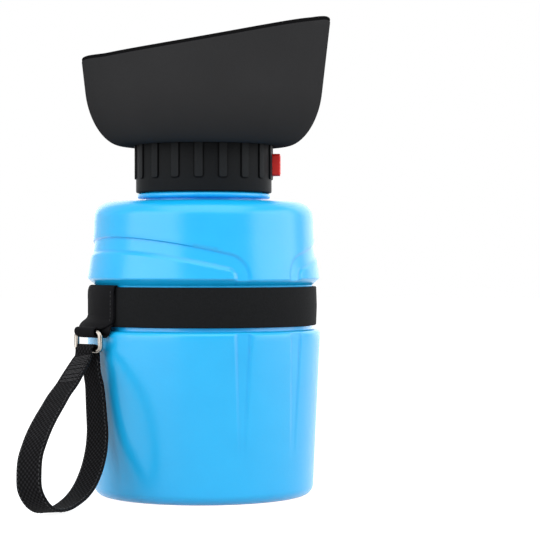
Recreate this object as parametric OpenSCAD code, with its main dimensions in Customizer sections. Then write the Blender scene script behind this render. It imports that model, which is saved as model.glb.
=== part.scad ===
// Dog travel water bottle: a squeeze bottle whose screw cap carries a soft
// drinking bowl, with a cross-button valve in the cap and a wrist strap on an
// elastic band. Millimetres. The origin is on the bottle's axis, in the plane
// it stands on, +Z is up, and the button and the high side of the bowl face +X.

/* [Bottle body] */
// Radius of the floor of the band's groove
groove_r = 41.7; // [34:0.1:52]
// Height of the lower body, up to the band's groove
lower_h = 63.3; // [50:0.1:80]
// How far the lower body's top edge stands out from the groove's floor
lower_lip = 3.1; // [2:0.1:5]
// How much the lower body narrows from its top edge down to the floor
lower_taper = 3; // [0:0.1:5]
// Rounding round the foot
foot_round = 4; // [2:0.1:6]
// Width of the foot, from the hollow under the base to the side
foot_w = 8.8; // [6:0.1:14]
// Height of the hollow under the base
foot_hollow = 1.2; // [0.5:0.1:3]
// Height from the groove to the top of the shoulder
upper_h = 31.6; // [28:0.1:45]
// How far the upper body's lower edge stands out from the groove's floor
upper_lip = 2.8; // [2:0.1:5]
// Height of the slanted face that closes the groove above the band
groove_slant_h = 2.5; // [1:0.1:5]
// Height of the upper body's flared part, which the arched channels lie in
flare_h = 15.7; // [10:0.1:20]
// How much the upper body narrows over its flared part
flare_taper = 2.2; // [0:0.1:4]
// How much the upper body narrows from there up to its shoulder
upper_taper = 0.6; // [0:0.1:3]
// Rounding of the shoulder
shoulder_round = 6.2; // [3:0.1:9]
// Wall of the blown bottle
bottle_wall = 1.5; // [1:0.1:1.8]

/* [Neck] */
// Outer radius of the neck
neck_r = 22.4; // [18:0.1:27]
// Wall of the neck
neck_wall = 1.8; // [1.4:0.1:2.4]
// Height of the neck between the shoulder and its flange
neck_gap = 1.3; // [0.5:0.1:3]
// How far the neck's flange stands out from the neck
flange_out = 3.2; // [2:0.1:4]
// Thickness of the neck's flange
flange_t = 2; // [1.5:0.1:4]
// Height of the neck above its flange, which takes the thread
thread_h = 5.9; // [4.5:0.1:8]

/* [Channels, flutes and thumb recess] */
// Direction of the plane that the channels and flutes are mirrored in
pattern_turn = -51; // [-180:1:180]
// Width of the arched channels
channel_w = 5.8; // [3:0.1:8]
// Depth of the arched channels and of the flutes at their top
channel_depth = 0.8; // [0.3:0.1:0.9]
// Distance from the shoulder down to the crest of each arch
crest_drop = 16.4; // [14:0.1:20]
// Drop of each arch, as the slant of the plane that it lies in
arch_rise = 10.3; // [4:0.1:12]
// Radius of the bend at each end of an arch
bend_r = 6; // [4:0.1:8]
// Angle from the mirror plane to each channel's end and to each flute
flute_angle = 15.8; // [10:0.1:24]
// Width of a flute at its top
flute_w = 6; // [3:0.1:8]
// Length of a flute, which runs out to a point
flute_l = 41; // [20:1:48]
// Width of the thumb recess
thumb_w = 19; // [12:0.5:24]
// Length of the thumb recess
thumb_l = 40; // [26:1:44]
// Depth of the thumb recess in the middle
thumb_depth = 1.3; // [0.5:0.1:1.5]

/* [Screw cap] */
// Room for the thread between the neck and the cap's skirt
thread_room = 1.9; // [1.5:0.05:2.5]
// Wall of the cap's skirt
collar_wall = 1.75; // [1.4:0.05:2.2]
// Thickness of the cap's deck
deck_t = 2.4; // [1.5:0.1:3]
// Height of the plain band below the ribs
plain_h = 5.1; // [3:0.1:5.6]
// Number of grip ribs, even and not a multiple of four, so that the button sits between two
rib_count = 18; // [14:4:22]
// Width of a grip rib
rib_w = 3.4; // [2:0.1:4]
// How far a rib stands proud
rib_proud = 0.6; // [0.3:0.1:1]
// Gap under the cap when it is screwed tight
collar_gap = 0.3; // [0.3:0.05:1]
// Lead of the screw thread, for each turn
thread_lead = 3.6; // [3:0.1:4]
// Thickness of the neck gasket
gasket_t = 1.2; // [0.8:0.1:1.5]

/* [Valve] */
// Width of the button
button_w = 5.4; // [4:0.1:6.5]
// Height of the button
button_h = 8.5; // [7:0.1:10.5]
// Travel of the button, which stands this far out at rest
button_travel = 2.8; // [2.2:0.1:3.4]
// Depth of the button's head inside the cap's side at rest
button_in = 0.2; // [0.1:0.05:0.4]
// Room above the button, up to the cap's deck
button_room = 0.75; // [0.3:0.05:1]
// Radius of the valve's spool
spool_r = 2.8; // [2.3:0.05:3.4]
// Running clearance round the spool
spool_play = 0.08; // [0.05:0.01:0.1]
// How much thinner the spool's far end is
stub_step = 0.5; // [0.3:0.05:0.8]
// Section diameter of the spool's sealing rings
seal_d = 1; // [0.8:0.1:1.2]
// Distance of each sealing ring from the water way
seal_at = 6.5; // [5.5:0.1:9]
// How far the spool laps over the water way's edge when it is shut
port_lap = 0.1; // [0.05:0.05:0.3]
// Thickness of the wall round the spool's bore
block_wall = 1; // [0.8:0.05:1.2]
// Thickness of the valve block's flange
block_flange_t = 2; // [1.5:0.1:2.5]
// Radius of the valve block's turret
turret_r = 6.5; // [5.5:0.1:7.8]

/* [Dip tube] */
// Bore radius of the dip tube
tube_bore_r = 3.1; // [2.4:0.1:3.6]
// Wall of the dip tube
tube_wall = 1; // [0.7:0.1:1.5]
// Length of the nipple that the dip tube is pushed on
nipple_l = 10; // [6:0.5:14]
// Gap between the tube's foot and the floor inside the bottle
tube_foot_gap = 3; // [2:0.5:10]

/* [Drinking bowl] */
// How far the bowl's flat floor reaches past the cap's ribs
bowl_overhang = 4.85; // [0.5:0.05:6]
// Width of the rounding between the floor and the side
bowl_curve_w = 11.6; // [9:0.1:18]
// Height of the rounding between the floor and the side
bowl_curve_h = 20; // [15:0.1:24]
// Outward lean of the side for each millimetre of height
bowl_lean = 0.115; // [0.05:0.005:0.2]
// Wall of the soft bowl
bowl_wall = 2.2; // [1.6:0.1:3]
// Height of the rim over the axis
rim_h = 36.9; // [34:0.1:42]
// Slant of the rim, up towards the button
rim_slant = 9.5; // [6:0.1:10]
// Radius of the rim's slight hollow, seen from the side
rim_hollow_r = 350; // [300:10:600]
// Radius of the spout plate
spout_plate_r = 17; // [14:0.5:20]
// Thickness of the spout plate
spout_plate_t = 2; // [1.5:0.1:3]
// Radius of the spout's dome
spout_r = 8; // [7:0.1:10]
// Height of the spout's dome
spout_h = 5; // [4.5:0.1:8]
// Number of water outlets
outlet_count = 6; // [3:1:8]
// Width of a water outlet
outlet_w = 2.2; // [1.5:0.1:2.6]

/* [Elastic band] */
// Width of the elastic band
band_w = 14.8; // [12:0.1:20]
// Thickness of the elastic band
band_t = 1.5; // [1:0.1:2]
// Gap between the band and the groove
band_gap = 0.3; // [0.25:0.05:0.4]
// Play above the band
band_play = 0.6; // [0.4:0.1:1]
// Gap between the groove's lower edge and the band, which sits high in its groove
band_low_gap = 1.6; // [0.4:0.1:2.5]

/* [Tab and ring] */
// Direction of the tab from the bottle's axis
tab_turn = 214.5; // [180:0.5:300]
// Turn of the tab's upper part on the band, back from there
tab_lean = 4; // [0:0.5:6]
// Width of the tab on the band
tab_w = 24; // [16:0.5:28]
// Thickness of the tab's fabric
tab_t = 0.7; // [0.5:0.05:0.9]
// How far the ring's middle stands out from the band
ring_out = 6.5; // [6:0.1:9]
// Turn of the ring away from the band's own direction
ring_turn = 17; // [0:1:20]
// Drop of the ring's upper bar below the band's lower edge
ring_drop = 1.9; // [0:0.1:3]
// Distance between the ring's two bars, middle to middle
ring_h = 6.8; // [6.8:0.1:8]
// Width inside the ring
ring_inner_w = 10.6; // [10.5:0.1:14]
// Diameter of the ring's wire
wire_d = 2; // [1.5:0.1:2.2]
// Radius of the bend in the ring's corners
ring_bend_r = 1.8; // [1.6:0.1:2]
// Play between the ring's wire and the fabric round it
eye_play = 0.3; // [0.25:0.05:0.4]

/* [Wrist strap] */
// Width of the webbing
strap_w = 10; // [8:0.5:10]
// Thickness of the webbing
strap_t = 1.1; // [0.8:0.1:1.2]

/* [Hidden] */

$fn = 96;
over = 1;
fillet_steps = 5;

// Radii of the bottle, out from the groove's floor
lower_top_r = groove_r + lower_lip;
lower_foot_r = lower_top_r - lower_taper;
foot_hollow_r = lower_foot_r - foot_w;
upper_low_r = groove_r + upper_lip;
knee_r = upper_low_r - flare_taper;
upper_top_r = knee_r - upper_taper;
neck_bore_r = neck_r - neck_wall;
flange_r = neck_r + flange_out;
flange_round = 0.44 * flange_t;

// Radii of what fits on the neck and in the cap
collar_bore_r = neck_r + thread_room;
collar_r = collar_bore_r + collar_wall;
rib_r = collar_r + rib_proud;
block_r = neck_r + 0.8;
spool_bore_r = spool_r + spool_play;
seal_out_r = spool_bore_r - 0.04;
block_tube_r = spool_bore_r + block_wall;
stub_r = spool_r - stub_step;
port_r = button_travel / 2 - port_lap;
bowl_floor_r = rib_r + bowl_overhang;
stem_play = 0.1;
window_play = 0.3;

// Heights, stacked up from the plane that the bottle stands on
groove_top_z = lower_h + band_low_gap + band_w + band_play;
upper_edge_z = groove_top_z + groove_slant_h;
knee_z = upper_edge_z + flare_h;
shoulder_z = groove_top_z + upper_h;
flange_z = shoulder_z + neck_gap;
flange_top_z = flange_z + flange_t;
neck_rim_z = flange_top_z + thread_h;
block_z = neck_rim_z + gasket_t;
spool_z = block_z + block_tube_r + 0.02;
deck_z = spool_z + button_h / 2 + button_room;
collar_z = flange_top_z + collar_gap;
collar_top_z = deck_z + deck_t;
collar_h = collar_top_z - collar_z;
bowl_floor_z = collar_top_z + bowl_wall;

// The elastic band in its groove
band_z = lower_h + band_low_gap;
band_top_z = band_z + band_w;
band_in_r = groove_r + band_gap;
band_out_r = band_in_r + band_t;

// Ends along X of the button's head and of the valve block's tube, and the spool's end flush with the cap
button_t = button_travel + button_in;
button_back_x = rib_r - button_in;
tube_end_x = min(block_r, button_back_x - button_travel - 0.3);
spool_stop_x = -(collar_bore_r - button_travel - 0.2);

function unit(v) = v / norm(v);

// Rounds corner b, between a and c, with an arc of radius r
function rounded_corner(a, b, c, r) =
    r <= 0 ? [b] :
    let(
        u = unit(a - b), v = unit(c - b), half = acos(u * v) / 2,
        centre = b + unit(u + v) * r / sin(half),
        start = b + u * r / tan(half) - centre, stop = b + v * r / tan(half) - centre,
        first = atan2(start.y, start.x),
        sweep = (atan2(stop.y, stop.x) - first + 540) % 360 - 180
    )
    [for (i = [0:fillet_steps])
        centre + r * [cos(first + sweep * i / fillet_steps), sin(first + sweep * i / fillet_steps)]];

// Closed outline through corners [x, y, rounding]
function outline(corners) =
    let(n = len(corners), p = [for (c = corners) [c[0], c[1]]])
    [for (i = [0:n - 1]) each rounded_corner(p[(i + n - 1) % n], p[i], p[(i + 1) % n], corners[i][2])];

// Rectangle of a given size round the origin, with round corners
function rounded_rectangle(w, h, r) =
    outline([[-w / 2, -h / 2, r], [w / 2, -h / 2, r], [w / 2, h / 2, r], [-w / 2, h / 2, r]]);

// Straight line between two values, for t from 0 to 1
function mix(a, b, t) = a + (b - a) * t;

// Radius of the bottle's side at a height of the upper or the lower body
function upper_r(z) =
    z < knee_z ? mix(upper_low_r, knee_r, (z - upper_edge_z) / flare_h) :
    mix(knee_r, upper_top_r, (z - knee_z) / (shoulder_z - knee_z));
function lower_r(z) = mix(lower_foot_r, lower_top_r, z / lower_h);

// Corners of the bottle's section, drawn in by an inset, for the outside and the inside
function body_corners(inset) = [
    [lower_r(foot_hollow + inset) - inset, inset, max(foot_round - inset, 1)],
    [lower_top_r - inset, lower_h - inset, 1.6 - inset / 2],
    [groove_r - inset, lower_h - inset, 0.4],
    [groove_r - inset, groove_top_z + inset / 3, 0.4],
    [upper_low_r - inset, upper_edge_z + inset / 3, 0.8],
    [knee_r - inset, knee_z, 60],
    [upper_top_r - inset, shoulder_z - inset, shoulder_round - inset]
];

module bottle_outside() {
    rotate_extrude()
        polygon(outline(concat(
            [[0, foot_hollow, 0], [foot_hollow_r, foot_hollow, 1], [foot_hollow_r + 1.5, 0, 0.8]],
            body_corners(0),
            [
                [neck_r, shoulder_z, 0.5],
                [neck_r, flange_z, 0.2],
                [flange_r, flange_z, flange_round],
                [flange_r, flange_top_z, flange_round],
                [neck_r, flange_top_z, 0.2],
                [neck_r, neck_rim_z, 0.5],
                [0, neck_rim_z, 0]
            ]
        )));
}

module bottle_inside() {
    rotate_extrude()
        polygon(outline(concat(
            [[0, foot_hollow + bottle_wall, 0], [foot_hollow_r, foot_hollow + bottle_wall, 1]],
            body_corners(bottle_wall),
            [
                [neck_bore_r, shoulder_z - bottle_wall, 1],
                [neck_bore_r, neck_rim_z + over, 0],
                [0, neck_rim_z + over, 0]
            ]
        )));
}

// Middle line of an arched channel from its crest to one end, as [angle, height]:
// a slanted plane's cut, then a bend, then straight down through the groove's slanted face
crest_z = shoulder_z - crest_drop;
channel_end_angle = 90 - flute_angle;
channel_mid_r = upper_r(crest_z);
degree_mm = channel_mid_r * PI / 180;
bend_start_slope = atan(arch_rise * sin(channel_end_angle) / channel_mid_r);
bend_start_angle = channel_end_angle - bend_r * (1 - sin(bend_start_slope)) / degree_mm;
arch_steps = 10;
bend_steps = 5;
function arch_z(angle) = crest_z - arch_rise * (1 - cos(angle));
half_channel = concat(
    [for (i = [1:arch_steps]) let(a = bend_start_angle * i / arch_steps) [a, arch_z(a)]],
    [for (i = [1:bend_steps])
        let(s = mix(bend_start_slope, 90, i / bend_steps))
        [bend_start_angle + bend_r * (sin(s) - sin(bend_start_slope)) / degree_mm,
         arch_z(bend_start_angle) - bend_r * (cos(bend_start_slope) - cos(s))]],
    [[channel_end_angle, upper_edge_z - groove_slant_h]]
);
channel_line = concat(
    [for (i = [len(half_channel) - 1:-1:0]) [-half_channel[i][0], half_channel[i][1]]],
    [[0, crest_z]],
    half_channel
);

// Four corners of the channel's cutter at each point of its line: floor and mouth, each side
function channel_ring(i) =
    let(
        last = len(channel_line) - 1,
        before = channel_line[max(i - 1, 0)], after = channel_line[min(i + 1, last)],
        along = unit([(after[0] - before[0]) * degree_mm, after[1] - before[1]]),
        across = [-along.y, along.x], here = channel_line[i],
        floor_r = upper_r(max(here[1], upper_edge_z)) - channel_depth
    )
    [for (k = [[-0.5, 0], [0.5, 0], [0.5, 1], [-0.5, 1]])
        let(
            off = k[0] * (channel_w - 1 + 2 * k[1] * channel_depth),
            a = here[0] + off * across.x / degree_mm, r = floor_r + k[1] * (channel_depth + over)
        )
        [r * cos(a), r * sin(a), here[1] + off * across.y]];

// Closed skin of triangles over rings of n corners, capped at both ends or joined up in a loop
module skin(rings, looped) {
    n = len(rings[0]);
    count = len(rings);
    spans = looped ? count : count - 1;
    sides = [for (i = [0:spans - 1], k = [0:n - 1])
        let(a = i * n + k, b = i * n + (k + 1) % n, c = ((i + 1) % count) * n)
        each [[a, c + k, b], [b, c + k, c + (k + 1) % n]]];
    end = (count - 1) * n;
    caps = looped ? [] : [
        for (k = [0:n / 2 - 2], t = [[k, k + 1, n - 2 - k], [k, n - 2 - k, n - 1 - k]])
            each [t, [end + t[0], end + t[2], end + t[1]]]
    ];
    polyhedron([for (r = rings) each r], concat(sides, caps));
}

module arched_channel() {
    skin([for (i = [0:len(channel_line) - 1]) channel_ring(i)], false);
}

// One tapering flute: as wide and deep as a channel at its top, and running out to a point
module flute() {
    top_z = lower_h + over;
    tip_z = lower_h - flute_l;
    top_in = lower_r(top_z) - channel_depth;
    tip_in = lower_r(tip_z);
    half = flute_w / 2;
    tip_out = tip_in + over;
    top_out = top_in + channel_depth + over;
    skin([
        [[tip_in, -0.05, tip_z], [tip_out, -0.05, tip_z], [tip_out, 0.05, tip_z], [tip_in, 0.05, tip_z]],
        [[top_in, -half, top_z], [top_out, -half, top_z], [top_out, half, top_z], [top_in, half, top_z]]
    ], false);
}

// Thumb recess: a dished oblong, where a slim capsule bites into the side
module thumb_recess() {
    z = lower_h * 0.6;
    run = thumb_l / 2 - thumb_w / 2;
    bite_r = (pow(thumb_w / 2, 2) + pow(thumb_depth, 2)) / (2 * thumb_depth) * 0.66;
    lean = atan((lower_top_r - lower_foot_r) / lower_h);
    translate([lower_r(z) - thumb_depth, 0, z])
        rotate([0, lean, 0])
            intersection() {
                translate([bite_r, 0, 0]) hull() {
                    for (s = [-1, 1]) translate([0, 0, s * run]) sphere(bite_r, $fn = 40);
                }
                rotate([90, 0, 90])
                    linear_extrude(6)
                        polygon(rounded_rectangle(thumb_w, thumb_l, thumb_w / 2 - 0.5));
            }
}

module bottle() {
    color("deepskyblue")
        difference() {
            bottle_outside();
            bottle_inside();
            rotate([0, 0, pattern_turn]) {
                for (side = [-90, 90]) rotate([0, 0, side]) arched_channel();
                for (half = [0, 180], side = [-1, 1])
                    rotate([0, 0, half + side * flute_angle]) flute();
                rotate([0, 0, 90]) thumb_recess();
            }
        }
}

module neck_gasket() {
    color("whitesmoke")
        translate([0, 0, neck_rim_z])
            difference() {
                cylinder(h = gasket_t, r = block_r);
                translate([0, 0, -over]) cylinder(h = gasket_t + 2 * over, r = neck_bore_r);
            }
}

// Grip rib as a plate standing on the cap's side, with its lower corners rounded
module grip_rib() {
    h = collar_h - plain_h;
    half = rib_w / 2;
    translate([collar_r - 0.5, 0, collar_z + plain_h])
        rotate([90, 0, 90])
            linear_extrude(rib_proud + 2)
                polygon(outline([[-half, 0, 1], [half, 0, 1], [half, h, 0], [-half, h, 0]]));
}

module collar() {
    color("#1b1b1d")
        difference() {
            union() {
                rotate_extrude()
                    polygon(outline([
                        [collar_bore_r, collar_z, 0.4],
                        [collar_r, collar_z, 0.6],
                        [collar_r, collar_top_z, 0],
                        [turret_r + stem_play, collar_top_z, 0],
                        [turret_r + stem_play, deck_z, 0],
                        [collar_bore_r, deck_z, 0]
                    ]));
                intersection() {
                    translate([0, 0, collar_z]) cylinder(h = collar_h, r = rib_r);
                    for (i = [0:rib_count - 1]) rotate([0, 0, (i + 0.5) * 360 / rib_count]) grip_rib();
                }
            }
            translate([collar_bore_r - over, 0, spool_z])
                rotate([90, 0, 90])
                    linear_extrude(collar_wall + rib_proud + 3)
                        polygon(rounded_rectangle(button_w + 2 * window_play, button_h + 2 * window_play, 1));
            translate([collar_bore_r - over, 0, spool_z])
                rotate([0, 90, 0]) cylinder(h = collar_wall + rib_proud + 3, r = spool_r + 0.15);
            translate([-rib_r - over, 0, spool_z])
                rotate([0, 90, 0]) cylinder(h = collar_wall + rib_proud + 2 * over, r = stub_r + stem_play);
        }
}

module valve_block() {
    color("#2b2b2e")
        difference() {
            union() {
                translate([0, 0, block_z]) cylinder(h = block_flange_t, r = block_r);
                translate([0, 0, block_z]) cylinder(h = deck_z - block_z, r = turret_r);
                translate([-tube_end_x, 0, spool_z])
                    rotate([0, 90, 0]) cylinder(h = 2 * tube_end_x, r = block_tube_r);
                translate([-1, -block_r + 2, block_z]) cube([2, 2 * block_r - 4, deck_z - block_z]);
                translate([0, 0, block_z - nipple_l]) {
                    cylinder(h = 1, r1 = tube_bore_r - 0.5, r2 = tube_bore_r);
                    translate([0, 0, 1]) cylinder(h = nipple_l, r = tube_bore_r);
                }
            }
            translate([-block_r - over, 0, spool_z])
                rotate([0, 90, 0]) cylinder(h = 2 * (block_r + over), r = spool_bore_r);
            translate([0, 0, block_z - nipple_l - over])
                cylinder(h = deck_z - block_z + nipple_l + 2 * over, r = port_r);
        }
}

module spool_groove(x) {
    translate([x - seal_d * 0.6, 0, spool_z])
        rotate([0, 90, 0])
            difference() {
                cylinder(h = seal_d * 1.2, r = spool_r + over);
                translate([0, 0, -over])
                    cylinder(h = seal_d * 1.2 + 2 * over, r = seal_out_r - seal_d);
            }
}

// Button and spool in one: at rest its cross hole lies beside the water way, by the button's travel
module cross_button() {
    color("red")
        difference() {
            union() {
                translate([button_back_x, 0, spool_z])
                    rotate([90, 0, 90]) {
                        linear_extrude(button_t - 0.5) polygon(rounded_rectangle(button_w, button_h, 0.8));
                        hull() {
                            translate([0, 0, button_t - 0.5])
                                linear_extrude(0.01) polygon(rounded_rectangle(button_w, button_h, 0.8));
                            translate([0, 0, button_t - 0.01])
                                linear_extrude(0.01)
                                    polygon(rounded_rectangle(button_w - 1, button_h - 1, 0.6));
                        }
                    }
                translate([spool_stop_x, 0, spool_z])
                    rotate([0, 90, 0]) cylinder(h = button_back_x - spool_stop_x, r = spool_r);
                translate([-collar_r, 0, spool_z])
                    rotate([0, 90, 0]) cylinder(h = collar_r + spool_stop_x, r = stub_r);
            }
            for (side = [-1, 1]) spool_groove(side * seal_at);
            translate([button_travel, 0, spool_z - spool_r - over])
                cylinder(h = 2 * (spool_r + over), r = port_r);
        }
}

module spool_seals() {
    color("#303033")
        for (side = [-1, 1])
            translate([side * seal_at, 0, spool_z])
                rotate([0, 90, 0])
                    rotate_extrude()
                        translate([seal_out_r - seal_d / 2, 0]) circle(d = seal_d, $fn = 24);
}

module dip_tube() {
    foot_z = foot_hollow + bottle_wall + tube_foot_gap;
    top_z = block_z - 0.4;
    color("gainsboro")
        difference() {
            translate([0, 0, foot_z]) cylinder(h = top_z - foot_z, r = tube_bore_r + tube_wall);
            translate([0, 0, foot_z - over]) cylinder(h = top_z - foot_z + 2 * over, r = tube_bore_r);
            translate([0, 0, foot_z]) rotate([0, 30, 0]) translate([-20, -20, -20]) cube([40, 40, 20]);
        }
}

// Outside of the bowl's side: an elliptic quarter at the floor, then a straight leaning wall
bowl_steps = 10;
bowl_top_h = rim_h + 20;
function bowl_point(t) =
    let(h = bowl_curve_h * (1 - cos(t)))
    [bowl_floor_r + bowl_curve_w * sin(t) + bowl_lean * h, h];
function bowl_inward(t) =
    unit([-bowl_curve_h * sin(t), bowl_curve_w * cos(t) + bowl_lean * bowl_curve_h * sin(t)]);
bowl_turns = [for (i = [0:bowl_steps]) 90 * i / bowl_steps];
bowl_side = [for (t = bowl_turns) bowl_point(t)];
bowl_lining = [for (t = bowl_turns) bowl_point(t) + bowl_wall * bowl_inward(t)];
bowl_climb = (bowl_top_h - bowl_curve_h) * [bowl_lean, 1];

module drinking_bowl() {
    color("#242426")
        translate([0, 0, collar_top_z])
            difference() {
                rotate_extrude()
                    polygon(concat(
                        [[turret_r + stem_play, 0]],
                        bowl_side,
                        [bowl_side[bowl_steps] + bowl_climb, bowl_lining[bowl_steps] + bowl_climb],
                        [for (i = [bowl_steps:-1:0]) bowl_lining[i]],
                        [[turret_r + stem_play, bowl_wall]]
                    ));
                translate([-rim_hollow_r * sin(rim_slant), 0, rim_h + rim_hollow_r * cos(rim_slant)])
                    rotate([90, 0, 0]) cylinder(h = 200, r = rim_hollow_r, center = true);
            }
}

module spout_plate() {
    outlet_z = bowl_floor_z + spout_plate_t;
    color("#1f1f21")
        difference() {
            union() {
                rotate_extrude()
                    polygon(outline([
                        [0, deck_z, 0],
                        [turret_r, deck_z, 0],
                        [turret_r, bowl_floor_z, 0],
                        [spout_plate_r, bowl_floor_z, 0],
                        [spout_plate_r, outlet_z, 1.4],
                        [spout_r, outlet_z, 0.4],
                        [spout_r, outlet_z + spout_h, 2.5],
                        [0, outlet_z + spout_h, 0]
                    ]));
            }
            translate([0, 0, deck_z - over]) cylinder(h = outlet_z + 2 - deck_z + over, r = port_r);
            for (i = [0:outlet_count - 1])
                rotate([0, 0, i * 360 / outlet_count])
                    translate([0, -outlet_w / 2, outlet_z + 0.5]) cube([spout_r + over, outlet_w, 2]);
        }
}

module carry_band() {
    color("#202022")
        rotate_extrude()
            polygon(outline([
                [band_in_r, band_z, 0.3],
                [band_out_r - 0.2, band_z, 0.5],
                [band_out_r, band_z + band_w / 2, 20],
                [band_out_r - 0.2, band_z + band_w, 0.5],
                [band_in_r, band_z + band_w, 0.3]
            ]));
}

// Ring's place: its middle line, the way its bars run, and the way its flat side faces
ring_top_z = band_z - ring_drop;
ring_low_z = ring_top_z - ring_h;
ring_r = band_out_r + ring_out;
ring_middle = ring_r * [cos(tab_turn), sin(tab_turn), 0];
bar_way = [cos(tab_turn - 270 + ring_turn), sin(tab_turn - 270 + ring_turn), 0];
ring_face = [cos(tab_turn + ring_turn), sin(tab_turn + ring_turn), 0];
up = [0, 0, 1];

// Point round a bar of the ring, at a radius and an angle up from the ring's face
function round_bar(z, r, angle) = ring_middle + (z + r * sin(angle)) * up + r * cos(angle) * ring_face;

// Section of flat fabric: steps across, with thin edges, and bent by a given shift of its edges
flat_steps = [-1, -0.92, 0, 0.92, 1];
curved_steps = [-1, -0.93, -0.62, -0.31, 0, 0.31, 0.62, 0.93, 1];
function fabric_section(steps, at, along, side, w, t, edge_shift) =
    let(s = unit(side - (side * along) * along), n = cross(along, s), last = len(steps) - 1)
    [for (face = [-1, 1], k = face < 0 ? [0:last] : [last:-1:0])
        let(u = steps[k], edge = abs(u) == 1 ? 0.4 : 1)
        at + s * u * w / 2 + n * face * edge * t / 2 + edge_shift * u * u];

// Directions along a route, from each point's neighbours
function ways(route, looped) =
    let(n = len(route))
    [for (i = [0:n - 1])
        let(
            after = looped ? (i + 1) % n : min(i + 1, n - 1),
            before = looped ? (i + n - 1) % n : max(i - 1, 0)
        )
        unit(route[after] - route[before])];

// Tab: folded over the band's top edge, down outside it in two layers, and out to an eye for the ring
tab_mid_r = band_out_r + tab_t + 0.07;
tab_eye_r = wire_d / 2 + eye_play + tab_t;
tab_eye_w = ring_inner_w - 2 * (ring_bend_r - wire_d / 2);
tab_side = [cos(tab_turn + 90), sin(tab_turn + 90), 0];
tab_inward = -[cos(tab_turn), sin(tab_turn), 0];
function on_tab(r, z) = [r * cos(tab_turn), r * sin(tab_turn), z];
function tab_stop(r, z, turn, w, t, bend_w) =
    [on_tab(r, z), mix(tab_side, bar_way, turn), w, t, bend_w * bend_w / (8 * tab_mid_r) * tab_inward, turn];
// Point of the tab after its upper part's turn back along the band
function leaned(p, turn) =
    let(a = -tab_lean * (1 - turn)) [p.x * cos(a) - p.y * sin(a), p.x * sin(a) + p.y * cos(a), p.z];
// Each stop: radius, height, share of the turn to the ring's way, width, thickness, width of the bend
tab_stops = [
    tab_stop(band_in_r + 0.5, band_top_z + tab_t * 0.5 + 0.03, 0, tab_w - 1, tab_t, tab_w),
    tab_stop(band_out_r - 0.3, band_top_z + tab_t * 0.5 + 0.03, 0, tab_w - 0.6, tab_t, tab_w),
    tab_stop(tab_mid_r - 0.25, band_top_z + 0.05, 0, tab_w - 0.2, tab_t * 1.3, tab_w),
    tab_stop(tab_mid_r, band_top_z - 0.8, 0, tab_w, tab_t * 1.9, tab_w),
    tab_stop(tab_mid_r, band_top_z - 2.2, 0, tab_w, tab_t * 2, tab_w),
    tab_stop(tab_mid_r, band_z + 5.4, 0, tab_w, tab_t * 2, tab_w),
    tab_stop(tab_mid_r + 0.2, band_z + 4, 0.05, tab_w - 0.4, tab_t * 2, tab_w - 1),
    tab_stop(tab_mid_r + 1.1, band_z + 2.6, 0.3, tab_w - 2.4, tab_t * 2, tab_w - 5),
    tab_stop(mix(tab_mid_r, ring_r, 0.5), band_z + 1.4, 0.7, tab_w - 6, tab_t * 2, 8),
    tab_stop(mix(tab_mid_r, ring_r, 0.78), band_z + 0.5, 0.95, tab_eye_w + 1.4, tab_t * 2, 2),
    tab_stop(ring_r, ring_top_z + 0.4, 1, tab_eye_w, 1.6, 0)
];

module along_bar(z) {
    translate(ring_middle + z * up) rotate([90, 0, tab_turn - 180 + ring_turn]) children();
}

module strap_tab() {
    along = ways([for (s = tab_stops) s[0]], false);
    color("#161618")
        difference() {
            union() {
                skin([for (i = [0:len(tab_stops) - 1])
                    let(s = tab_stops[i])
                    [for (p = fabric_section(curved_steps, s[0], along[i], s[1], s[2], s[3], s[4]))
                        leaned(p, s[5])]], false);
                along_bar(ring_top_z) cylinder(h = tab_eye_w, r = tab_eye_r, center = true);
            }
            along_bar(ring_top_z) cylinder(h = tab_w, r = tab_eye_r - tab_t, center = true);
        }
}

// Wire ring: two bars and two ends, joined by bent corners
module strap_ring() {
    half_w = (ring_inner_w + wire_d) / 2;
    half_h = ring_h / 2;
    straight_w = 2 * (half_w - ring_bend_r);
    straight_h = 2 * (half_h - ring_bend_r);
    color("silver")
        translate(ring_middle + (ring_top_z - half_h) * up)
            rotate([90, 0, tab_turn - 270 + ring_turn])
                union() {
                    for (s = [-1, 1]) {
                        translate([-straight_w / 2, s * half_h, 0])
                            rotate([0, 90, 0]) cylinder(h = straight_w, d = wire_d, $fn = 32);
                        translate([s * half_w, straight_h / 2, 0])
                            rotate([90, 0, 0]) cylinder(h = straight_h, d = wire_d, $fn = 32);
                    }
                    for (quarter = [0:3])
                        translate([
                            (quarter == 0 || quarter == 3 ? 1 : -1) * straight_w / 2,
                            (quarter < 2 ? 1 : -1) * straight_h / 2,
                            0
                        ])
                            rotate([0, 0, quarter * 90])
                                rotate_extrude(angle = 90)
                                    translate([ring_bend_r, 0]) circle(d = wire_d, $fn = 32);
                }
}

// Route of the webbing's loop, from the ring's lower bar round and back, chosen by hand
strap_route = [
    [-42.5, -30, 54.5], [-43, -32, 53], [-43.5, -34.5, 51.5], [-45, -39.5, 48], [-46.5, -44.5, 44.5],
    [-48.5, -50, 41], [-50, -55, 37.5],
    [-51.5, -60, 34], [-53, -65, 30], [-54, -70, 26], [-55, -74, 21], [-55, -77, 15.5],
    [-54.5, -78, 10], [-52.5, -75.5, 5], [-50, -70.5, 2], [-47, -64.5, 1.5], [-44.5, -58, 2.5],
    [-42, -52, 4.5], [-40, -46.5, 7.5], [-38.5, -42, 11.5], [-37.5, -38, 16], [-37, -34.5, 21],
    [-37, -32, 26.5], [-37.5, -30.5, 32], [-38, -29.5, 37.5], [-38.5, -29, 43], [-39.5, -28.5, 48.5]
];
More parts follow.
